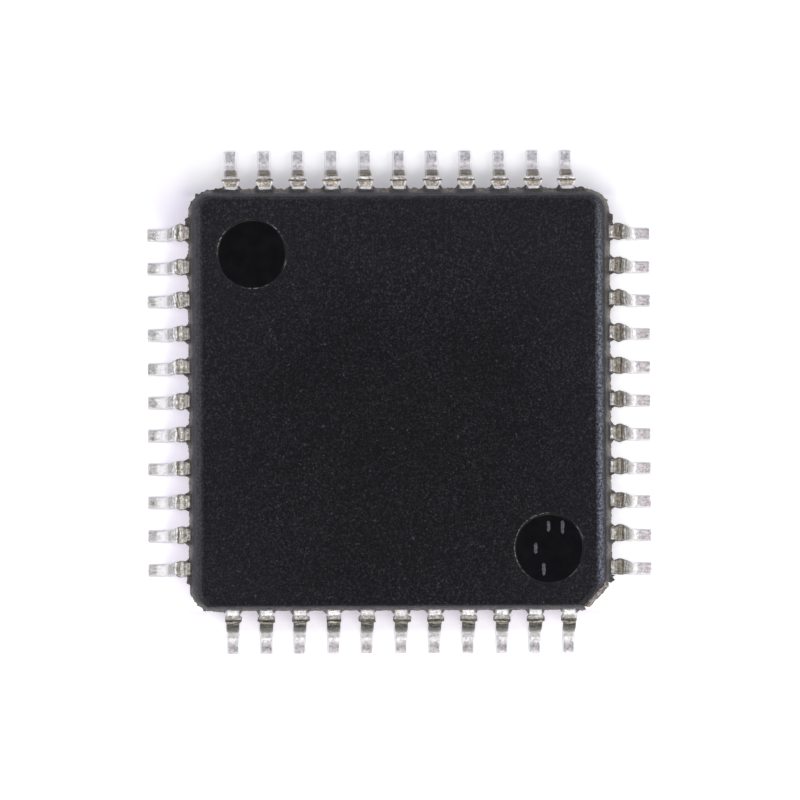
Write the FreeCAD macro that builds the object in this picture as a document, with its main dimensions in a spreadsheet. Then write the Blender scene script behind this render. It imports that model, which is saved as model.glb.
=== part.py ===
# Quad flat pack chip: a moulded epoxy body with 44 gull-wing leads, 11 on each side.
#
# Millimetres. +Z is up, X and Y run along the sides, and the origin is on the seating plane under the
# middle of the body. Seen from above, lead 1 is the top one on the left side, and the leads are
# numbered counter-clockwise.

import FreeCAD, Part

import math
import os

import Sketcher

Vector = FreeCAD.Vector

# Driving dimensions: name, value and what it measures. Lengths in mm, angles in degrees.
SIZES = (
    ("leads_per_side", 11, "leads on each of the four sides"),
    ("pitch", 0.8, "from lead to lead"),
    ("corner_margin", 1.0, "from the last lead of a row to the corner of the body"),
    ("body_thickness", 1.4, "moulded body, underside to top"),
    ("standoff", 0.1, "seating plane to the underside of the body"),
    ("draft_angle", 12, "lean of the body's walls away from the parting line"),
    ("corner_chamfer", 0.45, "leg of the chamfer at three corners of the body"),
    ("gate_chamfer", 0.7, "leg of the chamfer at the fourth corner, where the resin came in"),
    ("edge_radius", 0.15, "rounding round the top face and the underside"),
    ("gate_scar_width", 0.7, "broken-off gate along the chamfer"),
    ("gate_scar_reach", 0.04, "broken-off gate, out of the chamfer"),
    ("mark_diameter", 1.63, "round recesses in the top face"),
    ("mark_inset", 1.47, "centre of a top recess from both sides of the body"),
    ("mark_depth", 0.06, "round recesses in the top face"),
    ("pin_mark_diameter", 1.2, "round ejector marks in the underside"),
    ("pin_mark_inset", 1.8, "centre of an ejector mark from both sides of the body"),
    ("pin_mark_depth", 0.04, "round ejector marks in the underside"),
    ("flash_reach", 0.1, "resin flash out of the body, against the leads"),
    ("flash_waist", 0.02, "resin flash out of the body, midway between two leads"),
    ("flash_end", 0.2, "resin flash past the flank of the last lead of a row"),
    ("sheet_thickness", 0.127, "lead frame sheet"),
    ("lead_width", 0.33, "leads, outside the body and where they enter it"),
    ("shoulder_length", 0.24, "flat of a lead beside the body"),
    ("bend_radius", 0.1, "inside of both bends of a lead"),
    ("shank_tilt", 10, "lean of a lead between its bends, from upright"),
    ("foot_flat", 0.356, "flat sole of a lead"),
    ("ear_height", 0.045, "cut dam bar, out of each flank of a lead"),
    ("ear_length", 0.06, "cut dam bar, along the lead"),
    ("ear_flare", 0.16, "widening of a lead up to its cut dam bar"),
    ("finger_run", 0.45, "straight start of a lead's finger inside the body"),
    ("finger_width", 0.2, "tip of a finger"),
    ("finger_gap", 0.5, "paddle to the tips of the fingers"),
    ("finger_spread", 0.6, "last finger tip of a row to the diagonal, measured along the row"),
    ("paddle_side", 5.2, "die paddle"),
    ("paddle_setdown", 0.2, "die paddle below the leads"),
    ("tie_width", 0.3, "tie bars from the paddle to the corners"),
    ("tie_ramp_gap", 0.15, "paddle corner to the ramp of a tie bar"),
    ("tie_ramp_length", 0.35, "ramp of a tie bar, in plan"),
    ("attach_thickness", 0.025, "die attach"),
    ("attach_overhang", 0.1, "die attach out from under the die"),
    ("die_side", 3.6, "silicon die"),
    ("die_thickness", 0.28, "silicon die"),
    ("pad_inset", 0.12, "edge of the die to the bond pads"),
    ("pad_margin", 0.3, "corner of the die to the last bond pad of a row"),
    ("wire_diameter", 0.03, "bond wires, corner to corner of their section"),
    ("wire_rise", 0.16, "top of a bond wire's loop above the die"),
    ("wire_landing", 0.15, "end of a bond wire in from the tip of its finger"),
    ("wire_stitch", 0.1, "end of a bond wire that lies on its finger"),
)

# Places that follow from those dimensions.
BODY_SIDE = "((sizes.leads_per_side - 1) * sizes.pitch + 2 * sizes.corner_margin)"
BODY_HALF = f"({BODY_SIDE} / 2)"
BODY_TOP = "(sizes.standoff + sizes.body_thickness)"
LEAD_LEVEL = "(sizes.standoff + sizes.body_thickness / 2)"
PADDLE_BASE = f"({LEAD_LEVEL} - sizes.sheet_thickness / 2 - sizes.paddle_setdown)"
PADDLE_TOP = f"({PADDLE_BASE} + sizes.sheet_thickness)"
DIE_BASE = f"({PADDLE_TOP} + sizes.attach_thickness)"
FINGER_RING = "(sizes.paddle_side / 2 + sizes.finger_gap)"
FINGER_PITCH = f"(2 * ({FINGER_RING} - sizes.finger_spread) / (sizes.leads_per_side - 1))"
PAD_PITCH = "((sizes.die_side - 2 * sizes.pad_margin) / (sizes.leads_per_side - 1))"
MARK_PLACE = f"({BODY_HALF} - sizes.mark_inset)"
PIN_MARK_PLACE = f"({BODY_HALF} - sizes.pin_mark_inset)"

# Sides in the order of the lead numbers, each a quarter turn on from the one before.
SIDES = ("left", "bottom", "right", "top")

# Turn from +X to the outward direction of the left side.
LEFT = 180

BEND_FACETS = 4
WIRE_SECTION_CORNERS = 4
EDGE_TOLERANCE = 1e-6


def make_sheet(doc):
    """The driving dimensions, each in a cell with its name as alias."""
    sheet = doc.addObject("Spreadsheet::Sheet", "sizes")
    for row, (alias, value, meaning) in enumerate(SIZES, start=1):
        sheet.set(f"A{row}", alias)
        sheet.set(f"B{row}", str(value))
        sheet.setAlias(f"B{row}", alias)
        sheet.set(f"C{row}", meaning)
    doc.recompute()
    return sheet


def value_of(sheet, text):
    """The number that an expression of the sheet's cells comes to."""
    return float(sheet.evalExpression(text))


def origin_feature(body, role):
    """A plane or axis of the body's own origin."""
    return next(item for item in body.Origin.OriginFeatures if item.Role == role)


def add_sketch(body, name, plane, height=None):
    """A sketch on one of the body's planes, lifted along its normal by an expression."""
    sketch = body.newObject("Sketcher::SketchObject", name)
    sketch.AttachmentSupport = (origin_feature(body, plane), [""])
    sketch.MapMode = "FlatFace"
    if height is not None:
        sketch.setExpression("AttachmentOffset.Base.z", height)
    return sketch


def add_bound_constraints(sheet, sketch, bindings):
    """Constraints whose values are expressions: each a name, its expression, its kind and its places."""
    constraints = []
    for name, text, kind, *places in bindings:
        constraint = Sketcher.Constraint(kind, *places, value_of(sheet, text))
        constraint.Name = name
        constraints.append(constraint)
    sketch.addConstraint(constraints)
    for name, text, *_ in bindings:
        sketch.setExpression(f"Constraints.{name}", text)


def draw_outline(sheet, sketch, corners):
    """A closed outline of straight lines through corners, each a pair of expressions."""
    points = [Vector(value_of(sheet, x), value_of(sheet, y), 0) for x, y in corners]
    following = points[1:] + points[:1]
    sketch.addGeometry([Part.LineSegment(start, end) for start, end in zip(points, following)])
    count = len(points)
    sketch.addConstraint([Sketcher.Constraint("Coincident", i, 2, (i + 1) % count, 1) for i in range(count)])
    bindings = []
    for index, (x, y) in enumerate(corners):
        bindings.append((f"x_{index}", x, "DistanceX", -1, 1, index, 1))
        bindings.append((f"y_{index}", y, "DistanceY", -1, 1, index, 1))
    add_bound_constraints(sheet, sketch, bindings)


def add_pad(body, name, sketch, length, symmetric=False, reverse=False):
    """A pad of an expression's length."""
    pad = body.newObject("PartDesign::Pad", name)
    pad.Profile = sketch
    pad.setExpression("Length", length)
    pad.Reversed = reverse
    if symmetric:
        pad.SideType = "Symmetric"
    return pad


def add_pocket(body, name, sketch, depth, upward=False):
    """A pocket below its sketch, or above it where it is cut upward into the underside."""
    pocket = body.newObject("PartDesign::Pocket", name)
    pocket.Profile = sketch
    pocket.setExpression("Length", depth)
    pocket.Reversed = upward
    return pocket


def edges_at(shape, height):
    """Names of the edges that lie wholly at a height."""
    names = []
    for index, edge in enumerate(shape.Edges, start=1):
        box = edge.BoundBox
        if abs(box.ZMin - height) < EDGE_TOLERANCE and abs(box.ZMax - height) < EDGE_TOLERANCE:
            names.append(f"Edge{index}")
    return names


def walls_between(shape, low, high):
    """Names of the faces that reach from one height to another."""
    names = []
    for index, face in enumerate(shape.Faces, start=1):
        box = face.BoundBox
        if abs(box.ZMin - low) < EDGE_TOLERANCE and abs(box.ZMax - high) < EDGE_TOLERANCE:
            names.append(f"Face{index}")
    return names


def body_corners():
    """Plan of the body at the parting line, counter-clockwise from the gate corner at +X, -Y."""
    half = BODY_HALF
    gate = f"({half} - sizes.gate_chamfer)"
    corner = f"({half} - sizes.corner_chamfer)"
    return (
        (half, f"-{gate}"),
        (half, corner),
        (corner, half),
        (f"-{corner}", half),
        (f"-{half}", corner),
        (f"-{half}", f"-{corner}"),
        (f"-{corner}", f"-{half}"),
        (gate, f"-{half}"),
    )


def draft_walls(doc, sheet, body, name, last, levels, parting_outline, reverse):
    """Walls of one mould half between two levels, leaning in from its outline at the parting line."""
    low, high = sorted(value_of(sheet, level) for level in levels)
    draft = body.newObject("PartDesign::Draft", name)
    draft.Base = (last, walls_between(last.Shape, low, high))
    draft.NeutralPlane = (parting_outline, [""])
    draft.Reversed = reverse
    draft.setExpression("Angle", "sizes.draft_angle")
    doc.recompute()
    return draft


def mould_halves(doc, sheet, body):
    """The block of resin: a band as thick as the lead frame, with a drafted half above and below."""
    corners = body_corners()
    half_sheet = "sizes.sheet_thickness / 2"
    half_height = f"sizes.body_thickness / 2 - {half_sheet}"
    band_top = f"{LEAD_LEVEL} + {half_sheet}"
    band_base = f"{LEAD_LEVEL} - {half_sheet}"
    sketches = {}
    for name, level in (("band", LEAD_LEVEL), ("upper", band_top), ("lower", band_base)):
        sketches[name] = add_sketch(body, f"{name}_outline", "XY_Plane", level)
        draw_outline(sheet, sketches[name], corners)
    doc.recompute()
    add_pad(body, "parting_band", sketches["band"], "sizes.sheet_thickness", symmetric=True)
    upper = add_pad(body, "upper_half", sketches["upper"], half_height)
    lower = add_pad(body, "lower_half", sketches["lower"], half_height, reverse=True)
    for pad in (upper, lower):
        pad.Refine = False
    doc.recompute()
    last = draft_walls(doc, sheet, body, "upper_draft", lower, (band_top, BODY_TOP), sketches["upper"], False)
    last = draft_walls(doc, sheet, body, "lower_draft", last, ("sizes.standoff", band_base), sketches["lower"], True)
    rounding = body.newObject("PartDesign::Fillet", "edge_rounding")
    heights = (value_of(sheet, BODY_TOP), value_of(sheet, "sizes.standoff"))
    rounding.Base = (last, [name for height in heights for name in edges_at(last.Shape, height)])
    rounding.setExpression("Radius", "sizes.edge_radius")
    doc.recompute()


def round_marks(sheet, body):
    """Two round recesses in the top face and two ejector marks in the underside, on the diagonal that
    runs from the corner beside lead 1 to the gate corner."""
    marks = (
        ("top_mark", BODY_TOP, MARK_PLACE, "sizes.mark_diameter", "sizes.mark_depth", False),
        ("pin_mark", "sizes.standoff", PIN_MARK_PLACE, "sizes.pin_mark_diameter", "sizes.pin_mark_depth", True),
    )
    for name, level, place, diameter, depth, upward in marks:
        sketch = add_sketch(body, f"{name}_circles", "XY_Plane", level)
        for index, sign in enumerate((-1, 1)):
            x = f"{sign} * {place}"
            y = f"{-sign} * {place}"
            centre = Vector(value_of(sheet, x), value_of(sheet, y), 0)
            circle = Part.Circle(centre, Vector(0, 0, 1), value_of(sheet, diameter) / 2)
            sketch.addGeometry(circle)
            bindings = (
                (f"x_{index}", x, "DistanceX", -1, 1, index, 3),
                (f"y_{index}", y, "DistanceY", -1, 1, index, 3),
                (f"diameter_{index}", diameter, "Diameter", index),
            )
            add_bound_constraints(sheet, sketch, bindings)
        add_pocket(body, name, sketch, depth, upward)


def repeat(doc, body, name, original, transformations):
    """A multiple transformation of one feature."""
    multiple = body.newObject("PartDesign::MultiTransform", name)
    multiple.Originals = [original]
    multiple.Transformations = transformations
    body.Tip = multiple
    doc.recompute()


def four_sides(body, name):
    """A quarter-turn pattern about the upright axis."""
    pattern = body.newObject("PartDesign::PolarPattern", name)
    pattern.Axis = (origin_feature(body, "Z_Axis"), [""])
    pattern.Angle = 360
    pattern.Occurrences = len(SIDES)
    return pattern


def flash_between_leads(doc, sheet, body):
    """Flash left in each gap between two leads, hollowed where the dam bar was punched out."""
    inner = f"({BODY_HALF} - sizes.flash_reach)"
    outer = f"({BODY_HALF} + sizes.flash_reach)"
    waist = f"({BODY_HALF} + sizes.flash_waist)"
    middle = "(-(sizes.leads_per_side - 2) / 2 * sizes.pitch)"
    half_gap = "((sizes.pitch - sizes.lead_width) / 2)"
    half_hollow = f"({half_gap} / 2)"
    corners = (
        (inner, f"{middle} - sizes.pitch / 2"),
        (outer, f"{middle} - sizes.pitch / 2"),
        (outer, f"{middle} - {half_gap}"),
        (waist, f"{middle} - {half_hollow}"),
        (waist, f"{middle} + {half_hollow}"),
        (outer, f"{middle} + {half_gap}"),
        (outer, f"{middle} + sizes.pitch / 2"),
        (inner, f"{middle} + sizes.pitch / 2"),
    )
    sketch = add_sketch(body, "flash_outline", "XY_Plane", LEAD_LEVEL)
    draw_outline(sheet, sketch, corners)
    pad = add_pad(body, "flash", sketch, "sizes.sheet_thickness", symmetric=True)
    doc.recompute()
    row = body.newObject("PartDesign::LinearPattern", "flash_row")
    row.Direction = (origin_feature(body, "Y_Axis"), [""])
    row.setExpression("Length", "(sizes.leads_per_side - 2) * sizes.pitch")
    row.setExpression("Occurrences", "sizes.leads_per_side - 1")
    repeat(doc, body, "all_flash", pad, [row, four_sides(body, "flash_sides")])


def flash_at_row_ends(doc, sheet, body):
    """Flash past the last lead of each row, broken off short of the corner."""
    inner = f"({BODY_HALF} - sizes.flash_reach)"
    outer = f"({BODY_HALF} + sizes.flash_reach)"
    waist = f"({BODY_HALF} + sizes.flash_waist)"
    lead = "((sizes.leads_per_side - 1) / 2 * sizes.pitch)"
    flank = f"({lead} + sizes.lead_width / 2)"
    corners = (
        (inner, lead),
        (outer, lead),
        (outer, f"{flank} + sizes.flash_end / 4"),
        (waist, f"{flank} + sizes.flash_end"),
        (inner, f"{flank} + sizes.flash_end"),
    )
    sketch = add_sketch(body, "flash_end_outline", "XY_Plane", LEAD_LEVEL)
    draw_outline(sheet, sketch, corners)
    pad = add_pad(body, "flash_end", sketch, "sizes.sheet_thickness", symmetric=True)
    doc.recompute()
    other_end = body.newObject("PartDesign::Mirrored", "flash_other_end")
    other_end.MirrorPlane = (origin_feature(body, "XZ_Plane"), [""])
    repeat(doc, body, "all_flash_ends", pad, [other_end, four_sides(body, "flash_end_sides")])


def gate_scar(doc, sheet, body):
    """What is left of the resin gate, on the middle of the chamfer."""
    face = f"({BODY_SIDE} - sizes.gate_chamfer) / sqrt(2)"
    inner = f"{face} - sizes.gate_scar_reach"
    outer = f"{face} + sizes.gate_scar_reach"
    base = "(sizes.gate_scar_width / 2)"
    crest = f"({base} - sizes.gate_scar_reach)"
    corners = ((inner, f"-{base}"), (face, f"-{base}"), (outer, f"-{crest}"), (outer, crest), (face, base), (inner, base))
    sketch = add_sketch(body, "gate_scar_outline", "XY_Plane", LEAD_LEVEL)
    sketch.AttachmentOffset = FreeCAD.Placement(Vector(), FreeCAD.Rotation(Vector(0, 0, 1), -45))
    draw_outline(sheet, sketch, corners)
    add_pad(body, "gate_scar", sketch, "sizes.sheet_thickness", symmetric=True)
    doc.recompute()


def make_resin(doc, sheet):
    """The moulded block with its flash, still filled where the lead frame and the die will be."""
    body = doc.addObject("PartDesign::Body", "resin")
    mould_halves(doc, sheet, body)
    round_marks(sheet, body)
    doc.recompute()
    flash_between_leads(doc, sheet, body)
    flash_at_row_ends(doc, sheet, body)
    gate_scar(doc, sheet, body)
    return body


def gull_wing_corners():
    """Side view of a lead: along the top from the body to the tip, and back along the underside. Each
    bend is a few facets about one centre, whose corners lie on the true inner and outer arcs."""
    inside = "sizes.bend_radius"
    outside = "(sizes.bend_radius + sizes.sheet_thickness)"
    both = f"({inside} + {outside})"
    tilt = "sizes.shank_tilt"
    under = f"({LEAD_LEVEL} - sizes.sheet_thickness / 2)"
    drop = f"({under} - {both} + {both} * sin({tilt}))"
    foot = f"(sizes.shoulder_length + {both} * cos({tilt}) + {drop} * tan({tilt}))"
    tip = f"({foot} + sizes.foot_flat)"

    def bend(centre, radius, sign, steps):
        angles = [f"((90 - {tilt}) * {step} / {BEND_FACETS})" for step in steps]
        x, z = centre
        return [(f"{x} {sign} {radius} * sin({angle})", f"{z} {sign} {radius} * cos({angle})") for angle in angles]

    over_bend = ("sizes.shoulder_length", f"({under} - {inside})")
    foot_bend = (foot, outside)
    down = range(BEND_FACETS + 1)
    up = down[::-1]
    return (
        ("0", f"{under} + sizes.sheet_thickness"),
        *bend(over_bend, outside, "+", down),
        *bend(foot_bend, inside, "-", up),
        (tip, "sizes.sheet_thickness"),
        (tip, "0"),
        *bend(foot_bend, outside, "-", down),
        *bend(over_bend, inside, "+", up),
        ("0", under),
    )


def finger_corners(place):
    """Plan of a lead from the tip of its finger to the cut dam bar, for the lead that lies place
    pitches along its side. The corners of one flank, then those of the other."""
    ring = f"({FINGER_RING} - {BODY_HALF})"
    aside = f"(({place}) * ({FINGER_PITCH} - sizes.pitch))"
    ears = "(sizes.shoulder_length - sizes.ear_length)"
    half_lead = "sizes.lead_width / 2"
    flank = (
        (ring, aside, "sizes.finger_width / 2"),
        ("-sizes.finger_run", "0", half_lead),
        (f"{ears} - sizes.ear_flare", "0", half_lead),
        (ears, "0", f"({half_lead} + sizes.ear_height)"),
        ("sizes.shoulder_length", "0", f"({half_lead} + sizes.ear_height)"),
    )
    near = tuple((x, f"{middle} - {half}") for x, middle, half in flank)
    far = tuple((x, f"{middle} + {half}") for x, middle, half in reversed(flank))
    return near + far


def make_lead(doc, sheet, number):
    """A lead of the left side: its finger and shoulder as a flat plan, and its gull wing as a side view.
    Its own frame has X outward from the side of the body and Z up from the seating plane."""
    body = doc.addObject("PartDesign::Body", f"lead_{number}")
    place = f"{number - 1} - (sizes.leads_per_side - 1) / 2"
    plan = add_sketch(body, f"plan_{number}", "XY_Plane", LEAD_LEVEL)
    draw_outline(sheet, plan, finger_corners(place))
    add_pad(body, f"finger_{number}", plan, "sizes.sheet_thickness", symmetric=True)
    side_view = add_sketch(body, f"side_view_{number}", "XZ_Plane")
    draw_outline(sheet, side_view, gull_wing_corners())
    add_pad(body, f"gull_wing_{number}", side_view, "sizes.lead_width", symmetric=True)
    body.Placement = turned(LEFT)
    body.setExpression("Placement.Base.x", f"-{BODY_HALF}")
    body.setExpression("Placement.Base.y", f"-({place}) * sizes.pitch")
    return body


def turned(angle):
    """A turn about the upright axis."""
    return FreeCAD.Placement(Vector(), FreeCAD.Rotation(Vector(0, 0, 1), angle))


def turned_copy(doc, name, original, quarter_turns):
    """The same piece on another side of the body."""
    copy = doc.addObject("Part::Compound", name)
    copy.Links = [original]
    copy.Placement = turned(90 * quarter_turns)
    return copy


def make_leads(doc, sheet):
    """All leads: those of the left side, and each of them turned to the three other sides."""
    count = round(value_of(sheet, "sizes.leads_per_side"))
    first_row = [make_lead(doc, sheet, index + 1) for index in range(count)]
    leads = list(first_row)
    for quarter_turns in range(1, len(SIDES)):
        for lead in first_row:
            leads.append(turned_copy(doc, f"lead_{len(leads) + 1}", lead, quarter_turns))
    doc.recompute()
    return leads


def make_paddle(doc, sheet, resin):
    """The set-down paddle and its four tie bars, cut off flush with the corners of the body. The stamping
    is drawn with its tie bars along X and Y, and turned by half a right angle."""
    stamping = doc.addObject("PartDesign::Body", "paddle_stamping")
    stamping.Placement = FreeCAD.Placement(Vector(), FreeCAD.Rotation(Vector(0, 0, 1), 45))
    tip = "(sizes.paddle_side / sqrt(2))"
    plate = add_sketch(stamping, "paddle_outline", "XY_Plane", PADDLE_BASE)
    draw_outline(sheet, plate, ((tip, "0"), ("0", tip), (f"-{tip}", "0"), ("0", f"-{tip}")))
    add_pad(stamping, "paddle", plate, "sizes.sheet_thickness")
    ramp_start = f"{tip} + sizes.tie_ramp_gap"
    ramp_end = f"{ramp_start} + sizes.tie_ramp_length"
    raised = f"{PADDLE_BASE} + sizes.paddle_setdown"
    reach = f"{BODY_SIDE} / sqrt(2)"
    underside = (("0", PADDLE_BASE), (ramp_start, PADDLE_BASE), (ramp_end, raised), (reach, raised))
    top_side = tuple((x, f"{z} + sizes.sheet_thickness") for x, z in reversed(underside))
    profile = add_sketch(stamping, "tie_bar_profile", "XZ_Plane")
    draw_outline(sheet, profile, underside + top_side)
    tie_bar = add_pad(stamping, "tie_bar", profile, "sizes.tie_width", symmetric=True)
    doc.recompute()
    repeat(doc, stamping, "tie_bars", tie_bar, [four_sides(stamping, "tie_bar_turns")])
    paddle = doc.addObject("Part::Common", "die_paddle")
    paddle.Base = stamping
    paddle.Tool = resin
    return paddle


def add_slab(doc, name, side, thickness, base):
    """A square slab centred over the origin."""
    slab = doc.addObject("Part::Box", name)
    slab.setExpression("Length", side)
    slab.setExpression("Width", side)
    slab.setExpression("Height", thickness)
    slab.setExpression("Placement.Base.x", f"-({side}) / 2")
    slab.setExpression("Placement.Base.y", f"-({side}) / 2")
    slab.setExpression("Placement.Base.z", base)
    return slab


def make_die(doc):
    """The die on its layer of die attach, on the paddle."""
    attach_side = "sizes.die_side + 2 * sizes.attach_overhang"
    attach = add_slab(doc, "die_attach", attach_side, "sizes.attach_thickness", PADDLE_TOP)
    die = add_slab(doc, "silicon_die", "sizes.die_side", "sizes.die_thickness", DIE_BASE)
    return attach, die


def wire_solid(route, radius):
    """A wire of many-sided section along straight runs, mitred where they meet. Its route starts upright
    and then keeps to one upright plane."""
    heading = Vector(route[2].x - route[1].x, route[2].y - route[1].y, 0).normalize()
    across = Vector(0, 0, 1).cross(heading)
    corners = []
    for index in range(WIRE_SECTION_CORNERS + 1):
        angle = 2 * math.pi * (index % WIRE_SECTION_CORNERS + 0.5) / WIRE_SECTION_CORNERS
        corners.append(route[0] + (heading * math.cos(angle) + across * math.sin(angle)) * radius)
    make_solid, keep_frame, mitred = True, False, 1
    section = Part.makePolygon(corners)
    return Part.makePolygon(route).makePipeShell([section], make_solid, keep_frame, mitred)


def make_first_wires(doc, sheet):
    """The bond wires of the left side: up from their pads on the die, down to their fingers, and flat
    along them."""
    radius = value_of(sheet, "sizes.wire_diameter") / 2
    half_height = radius * math.cos(math.pi / WIRE_SECTION_CORNERS)
    die_top = value_of(sheet, f"{DIE_BASE} + sizes.die_thickness")
    finger_top = value_of(sheet, f"{LEAD_LEVEL} + sizes.sheet_thickness / 2")
    pad_x = value_of(sheet, "sizes.die_side / 2 - sizes.pad_inset")
    end_x = value_of(sheet, f"{FINGER_RING} + sizes.wire_landing")
    count = round(value_of(sheet, "sizes.leads_per_side"))
    solids = []
    for index in range(count):
        place = index - (count - 1) / 2
        pad = Vector(pad_x, place * value_of(sheet, PAD_PITCH), 0)
        end = Vector(end_x, place * value_of(sheet, FINGER_PITCH), 0)
        heel = end - (end - pad).normalize() * value_of(sheet, "sizes.wire_stitch")
        heights = (
            (pad, die_top),
            (pad, die_top + value_of(sheet, "sizes.wire_rise")),
            (heel, finger_top + half_height),
            (end, finger_top + half_height),
        )
        solids.append(wire_solid([Vector(point.x, point.y, height) for point, height in heights], radius))
    wires = doc.addObject("Part::Feature", f"bond_wires_{SIDES[0]}")
    wires.Shape = Part.makeCompound(solids)
    wires.Placement = turned(LEFT)
    return wires


def make_wires(doc, sheet):
    """The bond wires of all sides, one group for each."""
    first = make_first_wires(doc, sheet)
    copies = [turned_copy(doc, f"bond_wires_{side}", first, turns) for turns, side in enumerate(SIDES[1:], start=1)]
    return [first, *copies]


def make_package_body(doc, resin, inserts):
    """The resin with the room that the lead frame, the die and its wires take up inside it."""
    filling = doc.addObject("Part::MultiFuse", "filling")
    filling.Shapes = inserts
    body = doc.addObject("Part::Cut", "package_body")
    body.Base = resin
    body.Tool = filling
    return body


def check_document(doc, parts):
    """Stop before anything is written if a feature failed or a sub-part has no sound shape."""
    for item in doc.Objects:
        if {"Invalid", "Error"} & set(item.State):
            raise RuntimeError(f"{item.Name} did not build: {item.State}")
    for part in parts:
        if part.Shape.isNull() or not part.Shape.isValid() or not part.Shape.Solids:
            raise RuntimeError(f"{part.Label} has no sound shape")


def main():
    doc = FreeCAD.newDocument("quad_flat_pack")
    sheet = make_sheet(doc)
    resin = make_resin(doc, sheet)
    leads = make_leads(doc, sheet)
    paddle = make_paddle(doc, sheet, resin)
    attach, die = make_die(doc)
    inserts = [*leads, paddle, attach, die, *make_wires(doc, sheet)]
    package = make_package_body(doc, resin, inserts)
    doc.recompute()
    parts = [package, *inserts]
    check_document(doc, parts)
    os.makedirs("parts", exist_ok=True)
    for part in parts:
        part.Shape.exportStep(os.path.join("parts", f"{part.Label}.step"))
        print(part.Label, len(part.Shape.Solids), "solids,", round(part.Shape.Volume, 5), "mm3")


main()
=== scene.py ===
import math

import bpy
from mathutils import Matrix, Vector, noise
from mathutils.geometry import tessellate_polygon


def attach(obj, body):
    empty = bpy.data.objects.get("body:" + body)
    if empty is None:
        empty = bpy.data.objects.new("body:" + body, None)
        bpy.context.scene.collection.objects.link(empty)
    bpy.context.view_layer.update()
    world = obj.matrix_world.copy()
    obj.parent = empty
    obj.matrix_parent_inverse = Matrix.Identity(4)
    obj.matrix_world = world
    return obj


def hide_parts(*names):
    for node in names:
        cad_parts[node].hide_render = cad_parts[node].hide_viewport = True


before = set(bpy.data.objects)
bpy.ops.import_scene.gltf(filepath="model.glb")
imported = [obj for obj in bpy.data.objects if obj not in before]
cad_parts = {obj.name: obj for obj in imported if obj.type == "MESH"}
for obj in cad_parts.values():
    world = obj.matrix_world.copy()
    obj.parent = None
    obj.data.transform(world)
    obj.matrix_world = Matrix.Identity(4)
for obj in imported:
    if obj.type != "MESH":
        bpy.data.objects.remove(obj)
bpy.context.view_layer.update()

# Lengths below are in millimetres, and become metres where a mesh is made.
MM = 0.001

HALF = 5.0
PITCH = 0.8
LEADS = 11
FIRST_LEAD = -(LEADS - 1) / 2 * PITCH
STANDOFF = 0.1
TOP = 1.5
LEVEL = 0.8
SHEET = 0.127
FINGER_RING = 3.1
FINGER_STEP = 0.5

# Lead, along its middle line: flat shoulder, two bends joined by a leaning shank, and a flat foot.
SHOULDER = 0.24
BEND_RADIUS = 0.1 + SHEET / 2
HEEL_RADIUS = 0.21
TILT = math.radians(10)
SPAN = 1.0

# Each side: turn from +X to its outward direction.
SIDES = (("left", 180), ("bottom", 270), ("right", 0), ("top", 90))


def unit(t):
    """t, kept between 0 and 1."""
    return min(max(t, 0.0), 1.0)


def smooth(low, high, x):
    """0 below low, 1 above high, and an even slope between them."""
    t = unit((x - low) / (high - low))
    return t * t * (3 - 2 * t)


def wobble(x, y, z, octaves=3):
    """Even noise between about -1 and 1."""
    return noise.fractal(Vector((x, y, z)), 1.0, 2.0, octaves, noise_basis="PERLIN_ORIGINAL")


def new_object(name, data):
    made = bpy.data.objects.new(name, data)
    bpy.context.scene.collection.objects.link(made)
    return made


def make_piece(name, points, faces, materials, face_slots=None, flat_faces=(), attributes=None):
    """A mesh piece from points in millimetres, on the part's only body. Attributes are numbers by point."""
    mesh = bpy.data.meshes.new(name)
    mesh.from_pydata([[c * MM for c in p] for p in points], [], faces)
    for material in materials:
        mesh.materials.append(material)
    if face_slots is not None:
        mesh.polygons.foreach_set("material_index", face_slots)
    flat = set(flat_faces)
    mesh.polygons.foreach_set("use_smooth", [k not in flat for k in range(len(faces))])
    for key, values in (attributes or {}).items():
        mesh.attributes.new(key, "FLOAT", "POINT").data.foreach_set("value", values)
    mesh.update()
    piece = new_object(name, mesh)
    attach(piece, "root")
    return piece


# Node helpers


def add(tree, kind, inputs=None, **settings):
    """A shader node, with its settings and with inputs as values or as sockets to link."""
    made = tree.nodes.new("ShaderNode" + kind)
    for key, value in settings.items():
        setattr(made, key, value)
    for key, value in (inputs or {}).items():
        if isinstance(value, bpy.types.NodeSocket):
            tree.links.new(value, made.inputs[key])
        else:
            made.inputs[key].default_value = value
    return made


def new_material(name):
    """A material with an empty node tree, and the place on the object as a socket."""
    material = bpy.data.materials.new(name)
    material.use_nodes = True
    tree = material.node_tree
    tree.nodes.clear()
    return material, tree, add(tree, "TexCoord").outputs["Object"]


def finish_material(tree, shader):
    add(tree, "OutputMaterial", {"Surface": shader.outputs[0]})


def principled(material, colour, roughness, normal, specular=0.5, metallic=0.0):
    inputs = {"Base Color": colour, "Roughness": roughness, "Normal": normal}
    inputs |= {"Specular IOR Level": specular, "Metallic": metallic}
    tree = material.node_tree
    finish_material(tree, add(tree, "BsdfPrincipled", inputs))
    return material


def ramp(tree, factor, stops):
    """A colour ramp, its stops as (position, colour or grey level)."""
    made = add(tree, "ValToRGB", {"Fac": factor})
    elements = made.color_ramp.elements
    while len(elements) < len(stops):
        elements.new(0.5)
    for element, (position, level) in zip(elements, stops):
        element.position = position
        element.color = (*level, 1) if isinstance(level, tuple) else (level, level, level, 1)
    return made.outputs["Color"]


def noise_at(tree, place, size, detail=3.0, roughness=0.55):
    """Noise whose features are about size millimetres across."""
    settings = {"Vector": place, "Scale": 1 / (size * MM), "Detail": detail, "Roughness": roughness}
    return add(tree, "TexNoise", settings).outputs["Fac"]


def bump(tree, height, depth, under=None):
    """A bump of a depth in millimetres."""
    inputs = {"Height": height, "Distance": depth * MM}
    if under is not None:
        inputs["Normal"] = under
    return add(tree, "Bump", inputs).outputs["Normal"]


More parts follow.
